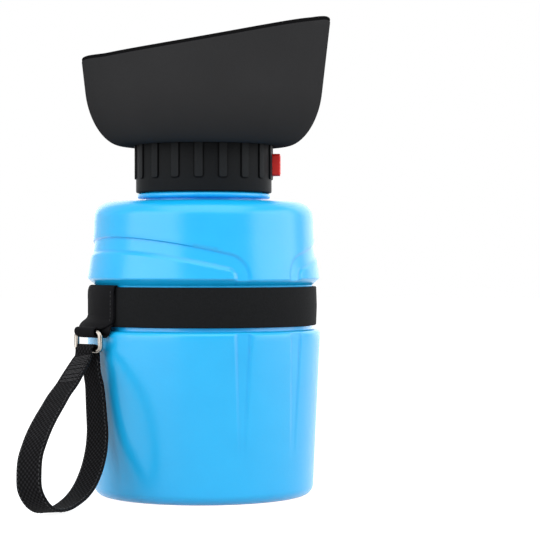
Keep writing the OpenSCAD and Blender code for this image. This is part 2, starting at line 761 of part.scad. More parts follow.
// Way that the webbing's width faces in the open part of the loop
loop_way = [0.93, -0.36, 0.09];
strap_eye_r = wire_d / 2 + eye_play + strap_t / 2;
strap_line = concat(
    [for (a = [90:-30:0]) round_bar(ring_low_z, strap_eye_r, a)],
    strap_route,
    [for (a = [190:-35:120]) round_bar(ring_low_z, strap_eye_r, a)]
);
// Share of the turn from the bar's way to the loop's way, after some points of the route
twist_points = 10;
function eased(t) = let(c = min(max(t, 0), 1)) c * c * (3 - 2 * c);
function twist(i) = eased((i - 3) / twist_points) * eased((len(strap_line) - 4 - i) / twist_points);
// Width of the webbing, which bunches up a little where it passes through the ring
strap_eye_w = tab_eye_w - 0.4;
function strap_width(i) =
    mix(strap_eye_w, strap_w, eased((i - 4) / 4) * eased((len(strap_line) - 3 - i) / 3));

module wrist_strap() {
    along = ways(strap_line, true);
    color("#141416")
        skin([for (i = [0:len(strap_line) - 1])
            let(side = mix(bar_way, loop_way, twist(i)), w = strap_width(i))
            fabric_section(flat_steps, strap_line[i], along[i], side, w, strap_t, [0, 0, 0])], true);
}

bottle();
neck_gasket();
collar();
valve_block();
cross_button();
spool_seals();
dip_tube();
drinking_bowl();
spout_plate();
carry_band();
strap_tab();
strap_ring();
wrist_strap();
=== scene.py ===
import math

import bpy
import numpy as np
from mathutils import Matrix, Vector


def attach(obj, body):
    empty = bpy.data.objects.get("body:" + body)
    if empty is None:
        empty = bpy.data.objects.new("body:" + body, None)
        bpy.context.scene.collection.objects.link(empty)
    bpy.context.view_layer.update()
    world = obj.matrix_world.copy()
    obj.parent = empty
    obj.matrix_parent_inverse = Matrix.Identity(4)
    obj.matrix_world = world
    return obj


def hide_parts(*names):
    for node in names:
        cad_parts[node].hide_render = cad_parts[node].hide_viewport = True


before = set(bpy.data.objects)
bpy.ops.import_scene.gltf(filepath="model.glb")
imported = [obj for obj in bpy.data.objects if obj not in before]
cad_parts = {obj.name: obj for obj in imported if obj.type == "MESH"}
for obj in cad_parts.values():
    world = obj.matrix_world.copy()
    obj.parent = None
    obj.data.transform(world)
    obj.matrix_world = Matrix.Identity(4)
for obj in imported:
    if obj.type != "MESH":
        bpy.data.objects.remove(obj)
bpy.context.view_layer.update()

MM = 0.001
UP = np.array([0.0, 0.0, 1.0])

# Sizes in mm that several pieces share, the same as the CAD's
NECK_R = 22.4
DECK_Z, PORT_R = 133.6, 6.6
SPOOL_Z = 126.2


# Camera

view = bpy.data.cameras.new("camera")
view.lens = 130
view.sensor_width = 36
view.clip_start = 0.01
view.clip_end = 30
camera = bpy.data.objects.new("camera", view)
bpy.context.scene.collection.objects.link(camera)
camera.location = (0.0563, -0.7486, 0.089)
camera.rotation_euler = Vector((-0.0412, 0.99975, -0.0041)).to_track_quat("-Z", "Y").to_euler()
bpy.context.scene.camera = camera
bpy.context.scene.view_settings.view_transform = "Standard"


# Tools for shaping

def deselect():
    """Leaves nothing selected, so that an operator acts only on what is made next."""
    if bpy.context.object and bpy.context.object.mode != "OBJECT":
        bpy.ops.object.mode_set(mode="OBJECT")
    bpy.ops.object.select_all(action="DESELECT")


def pick(piece):
    """Selects one piece alone and makes it the active one."""
    deselect()
    piece.select_set(True)
    bpy.context.view_layer.objects.active = piece


def set_in_place(piece):
    """Puts a piece's place, turn and size into its mesh."""
    pick(piece)
    bpy.ops.object.transform_apply(location=True, rotation=True, scale=True)


def settle(piece, angle):
    """Puts a piece's place into its mesh, and shades smooth what bends by less than an angle."""
    set_in_place(piece)
    bpy.ops.object.shade_smooth_by_angle(angle=math.radians(angle))
    return piece


def face_outwards(piece):
    """Recalculates the normals of a closed piece."""
    pick(piece)
    bpy.ops.object.mode_set(mode="EDIT")
    bpy.ops.mesh.select_all(action="SELECT")
    bpy.ops.mesh.normals_make_consistent(inside=False)
    bpy.ops.object.mode_set(mode="OBJECT")


def from_lists(name, points, faces):
    """New piece from points in mm and faces."""
    data = bpy.data.meshes.new(name)
    data.from_pydata([tuple(point * MM) for point in points], [], faces)
    piece = bpy.data.objects.new(name, data)
    bpy.context.scene.collection.objects.link(piece)
    return piece


def points_of(piece):
    """A piece's vertices in mm, one row each."""
    points = np.zeros(len(piece.data.vertices) * 3)
    piece.data.vertices.foreach_get("co", points)
    return points.reshape(-1, 3) / MM


def move_points(piece, radius, turn, height):
    """Moves a piece's vertices to radii, turns in radians and heights in mm."""
    points = np.stack([radius * np.cos(turn), radius * np.sin(turn), height], axis=1)
    piece.data.vertices.foreach_set("co", (points * MM).ravel())
    piece.data.update()


def mark(piece, name, shares):
    """Gives each vertex a share from 0 to 1 that a finish can read."""
    layer = piece.data.attributes.new(name, "FLOAT", "POINT")
    layer.data.foreach_set("value", shares.astype(np.float32))


def join(pieces, name):
    """Joins pieces into the first of them."""
    deselect()
    for piece in pieces:
        piece.select_set(True)
    bpy.context.view_layer.objects.active = pieces[0]
    bpy.ops.object.join()
    pieces[0].name = name
    return pieces[0]


def cut(piece, cutter):
    """Cuts one piece with another, which is then thrown away."""
    pick(piece)
    knife = piece.modifiers.new("cut", "BOOLEAN")
    knife.operation = "DIFFERENCE"
    knife.solver = "EXACT"
    knife.object = cutter
    bpy.ops.object.modifier_apply(modifier=knife.name)
    bpy.data.objects.remove(cutter)


def rounded(corners, detail=3.0):
    """Line through corners of [x, y, rounding], where each inner corner becomes an arc."""
    line = []
    for i, (x, y, rounding) in enumerate(corners):
        here = np.array([x, y])
        if rounding == 0 or i in (0, len(corners) - 1):
            line.append(here)
            continue
        back = np.array(corners[i - 1][:2]) - here
        ahead = np.array(corners[i + 1][:2]) - here
        back /= np.linalg.norm(back)
        ahead /= np.linalg.norm(ahead)
        half = math.acos(float(back @ ahead)) / 2
        middle = (back + ahead) / np.linalg.norm(back + ahead)
        centre = here + middle * rounding / math.sin(half)
        start = here + back * rounding / math.tan(half) - centre
        stop = here + ahead * rounding / math.tan(half) - centre
        first = math.atan2(start[1], start[0])
        sweep = (math.atan2(stop[1], stop[0]) - first + 3 * math.pi) % (2 * math.pi) - math.pi
        steps = max(2, round(detail * abs(sweep) * math.sqrt(rounding)))
        for k in range(steps + 1):
            turn = first + sweep * k / steps
            line.append(centre + rounding * np.array([math.cos(turn), math.sin(turn)]))
    return line


def finer(line, step):
    """The same line with points no further apart than a step, which may depend on the height."""
    fine = [line[0]]
    for before, after in zip(line, line[1:]):
        size = step((before[1] + after[1]) / 2)
        count = max(1, math.ceil(np.linalg.norm(after - before) / size))
        fine += [before + (after - before) * k / count for k in range(1, count + 1)]
    return fine


def drawn(name, spots):
    """Piece of one vertex that is drawn out along a line of spots, left in edit mode."""
    deselect()
    bpy.ops.mesh.primitive_plane_add(size=MM, location=spots[0])
    piece = bpy.context.object
    piece.name = name
    set_in_place(piece)
    bpy.ops.object.mode_set(mode="EDIT")
    bpy.ops.mesh.select_mode(type="VERT")
    bpy.ops.mesh.select_all(action="SELECT")
    bpy.ops.mesh.merge(type="CENTER")
    for before, after in zip(spots, spots[1:]):
        step = Vector(after) - Vector(before)
        bpy.ops.mesh.extrude_region_move(TRANSFORM_OT_translate={"value": step})
    bpy.ops.mesh.select_all(action="SELECT")
    return piece


def turned(name, line, steps, axis="Z"):
    """Piece turned on an axis, from a line of [radius, place along the axis] in mm."""
    if axis == "Z":
        piece = drawn(name, [(radius * MM, 0, way * MM) for radius, way in line])
    else:
        piece = drawn(name, [(way * MM, 0, radius * MM) for radius, way in line])
    spin_axis = (0, 0, 1) if axis == "Z" else (1, 0, 0)
    bpy.ops.mesh.spin(steps=steps, angle=2 * math.pi, center=(0, 0, 0), axis=spin_axis)
    bpy.ops.mesh.select_all(action="SELECT")
    bpy.ops.mesh.remove_doubles(threshold=2e-6)
    face_outwards(piece)
    return piece


def rod(radius, length, middle, vertices, turn=(0, 0, 0)):
    """Plain cylinder in mm, to cut with."""
    deselect()
    bpy.ops.mesh.primitive_cylinder_add(vertices=vertices, radius=radius * MM, depth=length * MM,
                                        location=[c * MM for c in middle], rotation=turn)
    return bpy.context.object


def rounded_block(name, middle, size, corner, edge):
    """Block in mm with its edges along X rounded, the lower pair by corner[0] and the upper pair by
    corner[1], where 0 leaves a pair sharp, and then the edge round its end towards +X."""
    deselect()
    bpy.ops.mesh.primitive_cube_add(size=1, location=[c * MM for c in middle])
    piece = bpy.context.object
    piece.name = name
    piece.scale = [s * MM for s in size]
    set_in_place(piece)
    bpy.ops.object.mode_set(mode="EDIT")
    bpy.ops.mesh.select_all(action="DESELECT")
    bpy.ops.object.mode_set(mode="OBJECT")
    for e in piece.data.edges:
        a, b = (piece.data.vertices[v].co for v in e.vertices)
        e.select = abs(a.x - b.x) > 1e-6 and corner[(a.z + b.z) / 2 > middle[2] * MM] > 0
    bpy.ops.object.mode_set(mode="EDIT")
    bpy.ops.mesh.select_mode(type="EDGE")
    bpy.ops.mesh.bevel(offset=max(corner) * MM, offset_type="OFFSET", segments=5, affect="EDGES")
    bpy.ops.mesh.select_all(action="DESELECT")
    bpy.ops.mesh.select_mode(type="FACE")
    bpy.ops.object.mode_set(mode="OBJECT")
    for f in piece.data.polygons:
        f.select = f.normal.x > 0.9
    bpy.ops.object.mode_set(mode="EDIT")
    bpy.ops.mesh.bevel(offset=edge * MM, offset_type="OFFSET", segments=4, affect="EDGES")
    bpy.ops.object.mode_set(mode="OBJECT")
    return piece


def smooth_step(t):
    """Rises softly from 0 to 1 while t goes from 0 to 1."""
    t = np.clip(t, 0, 1)
    return t * t * (3 - 2 * t)


def hump(distance, width):
    """1 at a line, and almost nothing from twice a width away."""
    return np.exp(-(distance / width) ** 2)


def turn_from(azimuth, middle):
    """Degrees from a direction, between -180 and 180."""
    return (azimuth - middle + 180) % 360 - 180


def distance_above(line, spots):
    """Distance of spots in a plane from a line of points, positive above it."""
    best = np.full(len(spots), np.inf)
    above = np.zeros(len(spots))
    for a, b in zip(line, line[1:]):
        length = np.linalg.norm(b - a)
        way = (b - a) / length
        off = spots - a
        off = off - np.clip(off @ way, 0, length)[:, None] * way
        gap = np.linalg.norm(off, axis=1)
        side = np.sign(way[0] * off[:, 1] - way[1] * off[:, 0])
        above = np.where(gap < best, side * gap, above)
        best = np.minimum(gap, best)
    return above


def curve_through(points, closed, steps):
    """Smooth curve through rows of numbers: a point, and whatever else changes along the way."""
    points = np.array(points, float)
    if closed:
        ends = np.concatenate([points[-1:], points, points[:2]])
    else:
        ends = np.concatenate([points[:1], points, points[-1:]])
    rows = []
    for a, b, c, d in zip(ends, ends[1:], ends[2:], ends[3:]):
        for t in np.arange(steps) / steps:
            rows.append(b + 0.5 * t * (c - a + t * (2 * a - 5 * b + 4 * c - d
                                                    + t * (3 * (b - c) + d - a))))
    return np.array(rows if closed else rows + [points[-1]])


class Strip:
    """Flat fabric along a line. Each row: middle (3), side (3), width, thickness, bend of its
    edges (3). The rows lie square to the line, or where it is ruled just as they are given."""

    def __init__(self, rows, closed, ruled=False):
        self.closed = closed
        self.middle = rows[:, 0:3]
        if closed:
            along = np.roll(self.middle, -1, 0) - np.roll(self.middle, 1, 0)
            gaps = np.linalg.norm(np.roll(self.middle, -1, 0) - self.middle, axis=1)
        else:
            along = np.gradient(self.middle, axis=0)
            gaps = np.linalg.norm(np.diff(self.middle, axis=0), axis=1)
        self.along = along / np.linalg.norm(along, axis=1)[:, None]
        side = rows[:, 3:6]
        if not ruled:
            side = side - np.sum(side * self.along, axis=1)[:, None] * self.along
        self.side = side / np.linalg.norm(side, axis=1)[:, None]
        face = np.cross(self.along, self.side)
        self.face = face / np.linalg.norm(face, axis=1)[:, None]
        self.width, self.thickness, self.bend = rows[:, 6], rows[:, 7], rows[:, 8:11]
        self.travel = np.concatenate([[0], np.cumsum(gaps)])

    def at(self, way, across, out):
        """Point, direction, facing and side, at a distance along and a share of the half width."""
        i = min(int(np.searchsorted(self.travel, way)), len(self.middle) - 1)
        half = self.width[i] / 2
        point = self.middle[i] + self.side[i] * across * half + self.bend[i] * across * across
        point = point + self.face[i] * out * self.thickness[i] / 2
        return point, self.along[i], self.face[i] * np.sign(out), self.side[i]

    def mesh(self, name, flat_steps=14, edge_steps=4):
        """The strip as a mesh with round edges, and a UV map in mm: along, then across."""
        turns = np.linspace(-math.pi / 2, math.pi / 2, 2 * edge_steps + 1)
        verts, uv = [], []
        count = len(self.middle)
        for i in range(count):
            half, thick = self.width[i] / 2, self.thickness[i] / 2
            flat = half - thick
            edge = [(flat + thick * math.cos(t), thick * math.sin(t)) for t in turns]
            top = [(x, thick) for x in np.linspace(flat, -flat, flat_steps + 1)[1:-1]]
            ring = edge + top + [(-x, -y) for x, y in edge] + [(-x, -y) for x, y in top]
            for x, y in ring:
                u = x / half
                verts.append(self.middle[i] + self.side[i] * x + self.face[i] * y
                             + self.bend[i] * u * u)
                uv.append(x)
        size = len(uv) // count
        faces, lays = [], []
        for i in range(count if self.closed else count - 1):
            ways = self.travel[i], self.travel[i + 1]
            for k in range(size):
                a, b = i * size + k, i * size + (k + 1) % size
                c, d = ((i + 1) % count) * size + k, ((i + 1) % count) * size + (k + 1) % size
                faces.append((a, c, d, b))
                lays.append([(ways[0], uv[a]), (ways[1], uv[c]),
                             (ways[1], uv[d]), (ways[0], uv[b])])
        if not self.closed:
            last = (count - 1) * size
            faces += [tuple(range(size)), tuple(last + k for k in reversed(range(size)))]
            lays += [[(0, uv[k]) for k in range(size)],
                     [(self.travel[-1], uv[last + k]) for k in reversed(range(size))]]
        piece = from_lists(name, verts, faces)
        layer = piece.data.uv_layers.new(name="along_across_mm")
        flat_uv = [number for lay in lays for pair in lay for number in pair]
        layer.data.foreach_set("uv", np.array(flat_uv, np.float32))
        piece.data.update()
        face_outwards(piece)
        bpy.ops.object.shade_smooth_by_angle(angle=math.radians(50))
        return piece


def stitches(name, spots, length, thick):
    """Sewn thread: one small round-ended stitch, copied to each point, direction and facing."""
    deselect()
    bpy.ops.mesh.primitive_uv_sphere_add(segments=6, ring_count=5, radius=1)
    seed = bpy.context.object
    stitch = np.array([v.co for v in seed.data.vertices])
    sides = [tuple(f.vertices) for f in seed.data.polygons]
    bpy.data.objects.remove(seed)
    verts, faces = [], []
    for point, way, facing in spots:
        across = np.cross(way, facing)
        start = len(verts)
        for x, y, z in stitch:
            verts.append(point + way * z * length / 2 + (across * x + facing * y) * thick / 2)
        faces += [tuple(start + v for v in f) for f in sides]
    piece = from_lists(name, verts, faces)
    face_outwards(piece)
    bpy.ops.object.shade_smooth()
    return piece


# Wrist strap: a loop of webbing through the ring's lower bar

# The ring's two bars: the point that they lie over, their heights, their direction and their front
RING_MIDDLE = np.array([-41.206, -28.320, 0.0])
RING_TOP, RING_LOW = 63.0, 56.2
BAR_WAY = np.array([0.7826, -0.6225, 0.0])
RING_FACE = np.array([-0.6225, -0.7826, 0.0])

STRAP_W, STRAP_W_AT_BAR, STRAP_T = 10.0, 8.6, 1.06
STRAP_R = 1.85
LOOP_WAY = np.array([0.93, -0.36, 0.09])


def round_bar(height, radius, angle):
    """Point round a bar of the ring, at an angle up from the ring's face."""
    a = math.radians(angle)
    return RING_MIDDLE + (height + radius * math.sin(a)) * UP + radius * math.cos(a) * RING_FACE


STRAP_ROUTE = [
    [-42.5, -30, 54.5], [-43, -32, 53], [-43.5, -34.5, 51.5], [-45, -39.5, 48],
    [-46.5, -44.5, 44.5], [-48.5, -50, 41], [-50, -55, 37.5], [-51.5, -60, 34], [-53, -65, 30],
    [-54, -70, 26], [-55, -74, 21], [-55, -77, 15.5], [-54.5, -78, 10], [-52.5, -75.5, 5],
    [-50, -70.5, 2], [-47, -64.5, 1.5], [-44.5, -58, 2.5], [-42, -52, 4.5], [-40, -46.5, 7.5],
    [-38.5, -42, 11.5], [-37.5, -38, 16], [-37, -34.5, 21], [-37, -32, 26.5], [-37.5, -30.5, 32],
    [-38, -29.5, 37.5], [-38.5, -29, 43], [-39.5, -28.5, 48.5],
]
strap_line = ([round_bar(RING_LOW, STRAP_R, a) for a in (90, 60, 30, 0)]
              + [np.array(p, float) for p in STRAP_ROUTE]
              + [round_bar(RING_LOW, STRAP_R, a) for a in (190, 155, 120)])
# Away from the bar the webbing twists to the loop's own direction and takes its full width
strap_rows = []
for i, point in enumerate(strap_line):
    left = len(strap_line) - 1 - i
    turn = smooth_step((i - 3) / 10) * smooth_step((left - 3) / 10)
    full = smooth_step((i - 4) / 4) * smooth_step((left - 2) / 3)
    strap_rows.append([*point, *(BAR_WAY + (LOOP_WAY - BAR_WAY) * turn),
                       STRAP_W_AT_BAR + (STRAP_W - STRAP_W_AT_BAR) * full, STRAP_T, 0, 0, 0])
webbing = Strip(curve_through(strap_rows, True, 8), True)
wrist_strap = webbing.mesh("wrist_strap_webbing")
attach(wrist_strap, "strap")
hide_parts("wrist_strap")

# A row of stitches along each edge, and crosswise rows where the ends are sewn together
sewn = []
for out in (-1, 1):
    for across in (-0.84, 0.84):
        for way in np.arange(5.2, webbing.travel[-1] - 7, 1.5):
            point, along, facing, _ = webbing.at(way, across, out)
            sewn.append((point, along, facing))
    for way in np.arange(6.0, 21, 1.15):
        for across in np.arange(-0.62, 0.63, 0.155):
            point, _, facing, side = webbing.at(way, across, out)
            sewn.append((point, side, facing))
strap_stitches = stitches("wrist_strap_stitches", sewn, length=0.95, thick=0.26)
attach(strap_stitches, "strap")


# Tab: a strip folded over the band's top edge, down to the ring's upper bar, round it and back

def round_axis(radius, turn, height):
    """Point at a radius, a direction in degrees and a height."""
    a = math.radians(turn)
    return np.array([radius * math.cos(a), radius * math.sin(a), height])


TAB_T, TAB_T_AT_BAR = 0.66, 0.62
TAB_LEFT, TAB_RIGHT = 195, 226


def tab_row(left, right, bulge, thickness=TAB_T):
    """Row of the tab from its left edge to its right edge, with its middle drawn out by a bulge."""
    middle = (left + right) / 2
    out = middle * [1, 1, 0] / np.linalg.norm(middle[:2])
    width = float(np.linalg.norm(right - left))
    return [*(middle + out * bulge), *((right - left) / width), width, thickness, *(-out * bulge)]


def on_band(radius, height):
    """Row that lies round the band, from the tab's left edge to its right edge."""
    bulge = radius * (1 - math.cos(math.radians((TAB_RIGHT - TAB_LEFT) / 2)))
    left, right = (round_axis(radius, turn, height) for turn in (TAB_LEFT, TAB_RIGHT))
    return tab_row(left, right, bulge)


def eye_row(angle, from_left, to_right, radius=1.66):
    """Row beside the ring's upper bar, between two distances along it from the ring's middle."""
    spot = round_bar(RING_TOP, radius, angle)
    return tab_row(spot + BAR_WAY * from_left, spot + BAR_WAY * to_right, 0, TAB_T_AT_BAR)


# Inside the band's top edge, over it, down its front, round the ring's bar and up behind
tab_rows = [
    on_band(42.6, 80.06), on_band(43.2, 80.06), on_band(43.97, 79.83), on_band(44.4, 78.9),
    on_band(44.62, 77.4), on_band(44.62, 74.0), on_band(44.62, 70.6), on_band(44.66, 68.9),
    tab_row(round_axis(45.4, 195.6, 67.5), round_axis(44.9, 226, 67.4), 1.9),
    tab_row(round_axis(47.9, 200.4, 66.2), round_axis(45.9, 225.4, 65.9), 1.3),
    eye_row(122, -5.6, 6.6), eye_row(92, -5.5, 5.6), eye_row(62, -5.5, 5.1),
    eye_row(32, -5.4, 5.0), eye_row(2, -5.2, 5.0), eye_row(-28, -4.8, 5.0),
    eye_row(-58, -4.2, 5.0), eye_row(-88, -3.9, 5.4),
    eye_row(-118, -4.0, 6.8, 2.0), eye_row(-138, -4.2, 8.0, 2.6), eye_row(-160, -4.5, 8.4, 3.0),
    tab_row(round_axis(48.0, 206, 63.9), round_axis(46.4, 226.2, 63.6), 0.3),
    tab_row(round_axis(46.4, 201.5, 65.8), round_axis(45.4, 225.6, 65.4), 0.7),
    tab_row(round_axis(44.6, 196.2, 67.6), round_axis(44.2, 225.8, 67.5), 1.5),
    on_band(43.94, 69.2), on_band(43.92, 70.6), on_band(43.92, 74.0), on_band(43.92, 77.0),
]
tab_strip = Strip(curve_through(tab_rows, False, 6), False, ruled=True)
strap_tab = tab_strip.mesh("tab_fabric", flat_steps=18, edge_steps=3)
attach(strap_tab, "band")
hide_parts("strap_tab")

# A row of stitches down each edge, on the side that faces away from the bottle
sewn = []
for way in np.arange(3.4, 15, 1.5):
    for across in (-0.88, 0.88):
        point, along, facing, _ = tab_strip.at(way, across, 1)
        if facing @ point < 0:
            point, along, facing, _ = tab_strip.at(way, across, -1)
        sewn.append((point, along, facing))
tab_stitches = stitches("tab_stitches", sewn, length=1.0, thick=0.26)
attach(tab_stitches, "band")


# Ring: one bent wire, a rounded oblong

WIRE_R, WIRE_BEND = 1.0, 1.8
HALF_LONG, HALF_HIGH = 4.5, 1.6
RING_CENTRE = RING_MIDDLE + BAR_WAY * 0.6 + UP * (RING_TOP + RING_LOW) / 2
deselect()
bpy.ops.curve.primitive_bezier_curve_add()
wire = bpy.context.object
wire.name = "ring_wire"
wire.data.splines.remove(wire.data.splines[0])
wire.data.dimensions = "3D"
wire.data.bevel_depth = WIRE_R * MM
wire.data.bevel_resolution = 6
loop = wire.data.splines.new("POLY")
ring_line = []
for across, rise, start in ((HALF_LONG, HALF_HIGH, 0), (-HALF_LONG, HALF_HIGH, 90),
                            (-HALF_LONG, -HALF_HIGH, 180), (HALF_LONG, -HALF_HIGH, 270)):
    for step in range(9):
        a = math.radians(start + 90 * step / 8)
        ring_line.append((across + WIRE_BEND * math.cos(a), rise + WIRE_BEND * math.sin(a)))
loop.points.add(len(ring_line) - 1)
loop.use_cyclic_u = True
for spot, (across, rise) in zip(loop.points, ring_line):
    spot.co = (*((RING_CENTRE + BAR_WAY * across + UP * rise) * MM), 1)
pick(wire)
bpy.ops.object.convert(target="MESH")
ring_wire = settle(bpy.context.object, 60)
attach(ring_wire, "ring")
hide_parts("strap_ring")


# Bottle: turned with its wall, then drawn in where the channels, flutes and thumb recess lie

SEGMENTS = 480
FOOT_R, GROOVE_R = 41.86, 41.7
LOWER_R, LOWER_Z = 44.8, 63.3
UPPER_R, UPPER_Z = 44.5, 82.8
FLARE_R, FLARE_Z = 42.3, 98.5
SHOULDER_R, SHOULDER_Z = 41.7, 111.9
FLANGE_R, MOUTH_R, NECK_TOP = 25.6, 20.6, 121.1

mouth = [[MOUTH_R, NECK_TOP, 0.4], [MOUTH_R, 110.4, 1]]
outer_corners = [
    [0, 1.2, 0], [33, 1.2, 1], [34.5, 0, 0.8], [FOOT_R, 0, 4], [LOWER_R, LOWER_Z, 1.6],
    [GROOVE_R, LOWER_Z, 0.4], [GROOVE_R, 80.3, 0.4], [UPPER_R, UPPER_Z, 0.8],
    [FLARE_R, FLARE_Z, 60], [SHOULDER_R, SHOULDER_Z, 6.2], [NECK_R, SHOULDER_Z, 0.5],
    [NECK_R, 113.2, 0.2], [FLANGE_R, 113.2, 0.88], [FLANGE_R, 115.2, 0.88],
    [NECK_R, 115.2, 0.2], [NECK_R, NECK_TOP, 0.5], *mouth,
]
inner_corners = [
    *mouth, [40.2, 110.4, 4.7], [40.8, FLARE_Z, 60], [43.0, 83.3, 0.8], [40.2, 80.8, 0.4],
    [40.2, 61.8, 0.4], [43.3, 61.8, 0.8], [40.43, 1.5, 2.5], [33, 2.7, 1], [0, 2.7, 0],
]


def wall_step(z):
    """Spacing of the outside's points: close where the channels lie, wide where it is plain."""
    if 80.4 < z < 99:
        return 0.55
    if 99 < z < 106:
        return 1.0
    return 1.7 if 4 < z < 62 else 30


def lower_r(z):
    """Radius of the lower body, which widens upwards."""
    return FOOT_R + (LOWER_R - FOOT_R) * z / LOWER_Z


def upper_r(z):
    """Radius of the upper body, which narrows upwards, fast and then slowly."""
    below = UPPER_R + (FLARE_R - UPPER_R) * (z - UPPER_Z) / (FLARE_Z - UPPER_Z)
    over = FLARE_R + (SHOULDER_R - FLARE_R) * (z - FLARE_Z) / (SHOULDER_Z - FLARE_Z)
    return np.where(z < FLARE_Z, below, over)


outside = finer(rounded(outer_corners), wall_step)
inside = rounded(inner_corners, 1.5)
bottle = turned("bottle_body", outside[:-1] + inside[1:], SEGMENTS)
points = points_of(bottle)
radius = np.hypot(points[:, 0], points[:, 1])
azimuth = np.degrees(np.arctan2(points[:, 1], points[:, 0]))
height = points[:, 2]

# The arches' crests stand at this turn and opposite it, and each arch ends at a turn from its crest
CREST_TURN, END_TURN = 39, 74.2
ARCH_TOP, ARCH_RISE = 95.5, 10.3


def arch_z(turn):
    """Height of an arch's middle line, at a turn in degrees from its crest."""
    return ARCH_TOP - ARCH_RISE * (1 - np.cos(np.radians(turn)))


# Rows of the upper body follow the arches, so that the channels' edges run along them
LEVEL_Z = 105.6
on_upper = (height > UPPER_Z + 0.05) & (height < LEVEL_Z) & (radius > upper_r(height) - 0.5)
from_crest = turn_from(azimuth, CREST_TURN)
from_crest = np.where(np.abs(from_crest) > 90, turn_from(azimuth, CREST_TURN - 180), from_crest)
drop = arch_z(np.minimum(np.abs(from_crest), 62)) - ARCH_TOP
share = np.clip(np.minimum((height - UPPER_Z) / 8, (LEVEL_Z - height) / 7), 0, 1)
before = height
height = np.where(on_upper, height + drop * share, height)
radius = np.where(on_upper, radius + upper_r(height) - upper_r(before), radius)

# A channel's middle line on the unrolled side: an arch whose ends bend down to the groove. A degree
# is so many mm at the channels' radius.
CHANNEL_R, DEGREE = 42.72, 0.7456
CHANNEL_BEND, CHANNEL_DEPTH = 6, 0.8
SLOPE = math.atan(ARCH_RISE * math.sin(math.radians(END_TURN)) / CHANNEL_R)
bend_start = END_TURN - CHANNEL_BEND * (1 - math.sin(SLOPE)) / DEGREE
half_line = [(bend_start * i / 30, arch_z(bend_start * i / 30)) for i in range(31)]
for i in range(1, 13):
    slope = SLOPE + (math.pi / 2 - SLOPE) * i / 12
    half_line.append((bend_start + CHANNEL_BEND * (math.sin(slope) - math.sin(SLOPE)) / DEGREE,
                      arch_z(bend_start) - CHANNEL_BEND * (math.cos(SLOPE) - math.cos(slope))))
half_line.append((END_TURN, 70))
channel = np.array([(-turn, z) for turn, z in half_line[:0:-1]] + half_line) * [DEGREE, 1]

# Channel: its lower edge is 3.35 to 2.05 mm below that line and its upper edge 2.35 to 3.25 above,
# where the surface comes back not quite to its old place
near_side = (height > 80.2) & (height < 107) & (radius > 41)
z = height[near_side]
above = distance_above(channel, np.stack([from_crest[near_side] * DEGREE, z], axis=1))
lower_edge = smooth_step((above + 3.35) / 1.3)
upper_edge = smooth_step((above - 2.35) / 0.9)
set_back = 0.5 * np.clip((FLARE_Z - z) / (FLARE_Z - UPPER_Z), 0, 1)
depth = CHANNEL_DEPTH * lower_edge + (set_back - CHANNEL_DEPTH) * upper_edge
radius[near_side] = np.minimum(radius[near_side], upper_r(np.maximum(z, UPPER_Z)) - depth)
# Painted shade: a share for each vertex that darkens the colour along the channel's two edges
painted_crease_shade = np.zeros(len(radius))
painted_crease_shade[near_side] = hump(above + 2.25, 0.45) * 0.9 + hump(above - 2.55, 0.4) * 0.8

# Flutes under the channels' ends: flat-bottomed, narrower and shallower downwards
FLUTE_LENGTH, FLUTE_HALF, FLUTE_DEPTH = 47, 3.0, 0.8
LOWER_DEGREE = 44 * math.pi / 180
on_lower = ((height > 4) & (height < LOWER_Z - 0.01) & (radius > lower_r(height) - 1.55)
            & (radius > 42.2))
z = height[on_lower]
way_down = np.clip((LOWER_Z - z) / FLUTE_LENGTH, 0, 1)
half = FLUTE_HALF * (1 - 0.62 * way_down)
draw_in = np.zeros(len(z))
# Painted shade along each flute's edges, as a share for each vertex
flute_edge_shade = np.zeros(len(z))
for crest in (CREST_TURN, CREST_TURN - 180):
    for end in (-END_TURN, END_TURN):
        across = np.abs(turn_from(azimuth[on_lower], crest + end)) * LOWER_DEGREE
        in_flute = 1 - smooth_step((across - half + 0.45) / 0.9)
        draw_in = np.maximum(draw_in, FLUTE_DEPTH * (1 - way_down) ** 0.8 * in_flute)
        flute_edge_shade += hump(across - half + 0.35, 0.4) * (1 - way_down) ** 0.7

# Thumb recess: a dished upright oblong under the crest
RECESS_Z, RECESS_HALF, RECESS_STRAIGHT, RECESS_DEPTH = 38, 9.5, 10.5, 1.3
across = turn_from(azimuth[on_lower], CREST_TURN) * LOWER_DEGREE
beyond = np.maximum(np.abs(z - RECESS_Z) - RECESS_STRAIGHT, 0)
spread = np.hypot(across, beyond) / RECESS_HALF
dish = RECESS_DEPTH * np.clip(1 - spread ** 2, 0, 1) ** 0.8
radius[on_lower] = np.minimum(radius[on_lower], lower_r(z) - draw_in - dish)
painted_crease_shade[on_lower] = flute_edge_shade * 0.8

move_points(bottle, radius, np.radians(azimuth), height)
mark(bottle, "painted_crease_shade", painted_crease_shade)
settle(bottle, 40)
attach(bottle, "bottle")
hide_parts("bottle")


# Screw threads: one turn on the neck, half a turn inside the cap, half a lead apart

LEAD = 3.6


def thread(name, root, crest, start_z, turns):
    """Ridge of a right-hand thread from its root's radius to its crest's, in mm."""
    deep = root - 0.4 if crest > root else root + 0.4
    foot, tip = 0.75, 0.35
    shape = [(deep, -foot), (root, -foot), (crest, -tip), (crest, tip), (root, foot), (deep, foot)]
    piece = drawn(name, [(r * MM, 0, (start_z + z) * MM) for r, z in shape + shape[:1]])
    bpy.ops.mesh.remove_doubles(threshold=1e-6)
    bpy.ops.object.mode_set(mode="OBJECT")
    wind = piece.modifiers.new("wind", "SCREW")
    wind.angle = 2 * math.pi * turns
    wind.screw_offset = LEAD * MM * turns
    wind.steps = wind.render_steps = 120
    bpy.ops.object.modifier_apply(modifier=wind.name)
    bpy.ops.object.mode_set(mode="EDIT")
    bpy.ops.mesh.select_all(action="DESELECT")
    bpy.ops.mesh.select_mode(type="EDGE")
    bpy.ops.mesh.select_non_manifold()
    bpy.ops.mesh.edge_face_add()
    face_outwards(piece)
    return settle(piece, 30)


